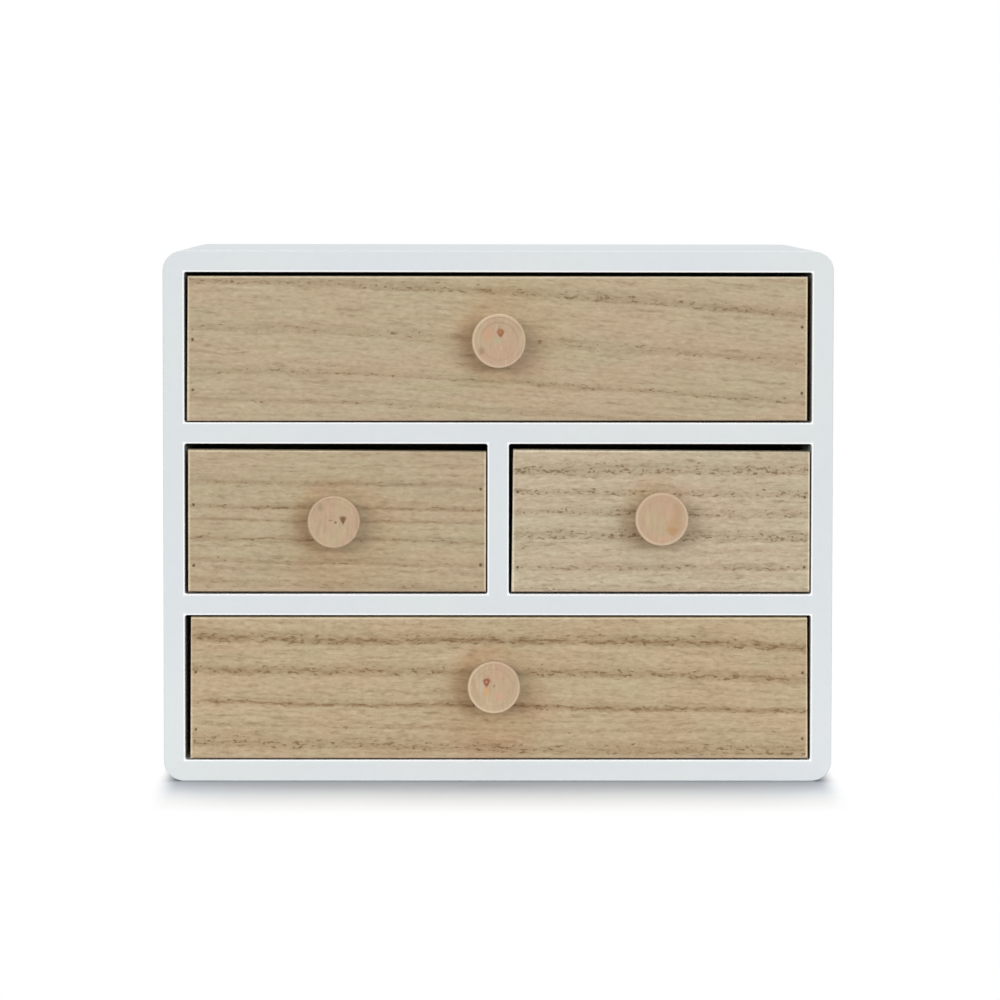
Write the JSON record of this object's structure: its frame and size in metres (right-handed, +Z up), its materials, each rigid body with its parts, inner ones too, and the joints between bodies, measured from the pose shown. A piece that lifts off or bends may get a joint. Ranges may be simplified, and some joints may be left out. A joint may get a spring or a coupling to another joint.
{
  "type": "desktop mini drawers",
  "caption": "Small white-painted desktop case with natural wood drawers that slide out by turned knobs, for crafts and small parts.",
  "frame": {"origin": "middle of the case's underside, on the surface it stands on", "axes": "+Z up, +X to the viewer's right along the width, -Y towards the viewer, out of the drawers' fronts"},
  "size_m": [0.252, 0.1947, 0.2],
  "materials": {
    "white_paint": "satin white paint over fibreboard",
    "drawer_wood": "sanded raw paulownia, open grain",
    "drawer_sheet": "sanded raw plywood",
    "knob_wood": "fine sanded turned beech",
    "steel": "zinc plated"
  },
  "bodies": {
    "case": {"top_panel": "white_paint", "bottom_panel": "white_paint", "left_side_panel": "white_paint", "right_side_panel": "white_paint", "upper_shelf": "white_paint", "lower_shelf": "white_paint", "centre_divider": "white_paint", "back_panel": "white_paint", "back_panel_nails": "steel", "case_nails": "steel"},
    "top_drawer": {"top_drawer_front": "drawer_wood", "top_drawer_left_side": "drawer_wood", "top_drawer_right_side": "drawer_wood", "top_drawer_back": "drawer_wood", "top_drawer_bottom": "drawer_sheet", "top_drawer_pins": "steel", "top_knob": "knob_wood", "top_knob_screw": "steel"},
    "middle_left_drawer": {"middle_left_drawer_front": "drawer_wood", "middle_left_drawer_left_side": "drawer_wood", "middle_left_drawer_right_side": "drawer_wood", "middle_left_drawer_back": "drawer_wood", "middle_left_drawer_bottom": "drawer_sheet", "middle_left_drawer_pins": "steel", "middle_left_knob": "knob_wood", "middle_left_knob_screw": "steel"},
    "middle_right_drawer": {"middle_right_drawer_front": "drawer_wood", "middle_right_drawer_left_side": "drawer_wood", "middle_right_drawer_right_side": "drawer_wood", "middle_right_drawer_back": "drawer_wood", "middle_right_drawer_bottom": "drawer_sheet", "middle_right_drawer_pins": "steel", "middle_right_knob": "knob_wood", "middle_right_knob_screw": "steel"},
    "bottom_drawer": {"bottom_drawer_front": "drawer_wood", "bottom_drawer_left_side": "drawer_wood", "bottom_drawer_right_side": "drawer_wood", "bottom_drawer_back": "drawer_wood", "bottom_drawer_bottom": "drawer_sheet", "bottom_drawer_pins": "steel", "bottom_knob": "knob_wood", "bottom_knob_screw": "steel"}
  },
  "joints": [
    {"name": "top_drawer_slide", "type": "slide", "parent": "case", "child": "top_drawer", "axis": [0, -1, 0], "range_m": [0, 0.13]},
    {"name": "middle_left_drawer_slide", "type": "slide", "parent": "case", "child": "middle_left_drawer", "axis": [0, -1, 0], "range_m": [0, 0.13]},
    {"name": "middle_right_drawer_slide", "type": "slide", "parent": "case", "child": "middle_right_drawer", "axis": [0, -1, 0], "range_m": [0, 0.13]},
    {"name": "bottom_drawer_slide", "type": "slide", "parent": "case", "child": "bottom_drawer", "axis": [0, -1, 0], "range_m": [0, 0.13]}
  ]
}
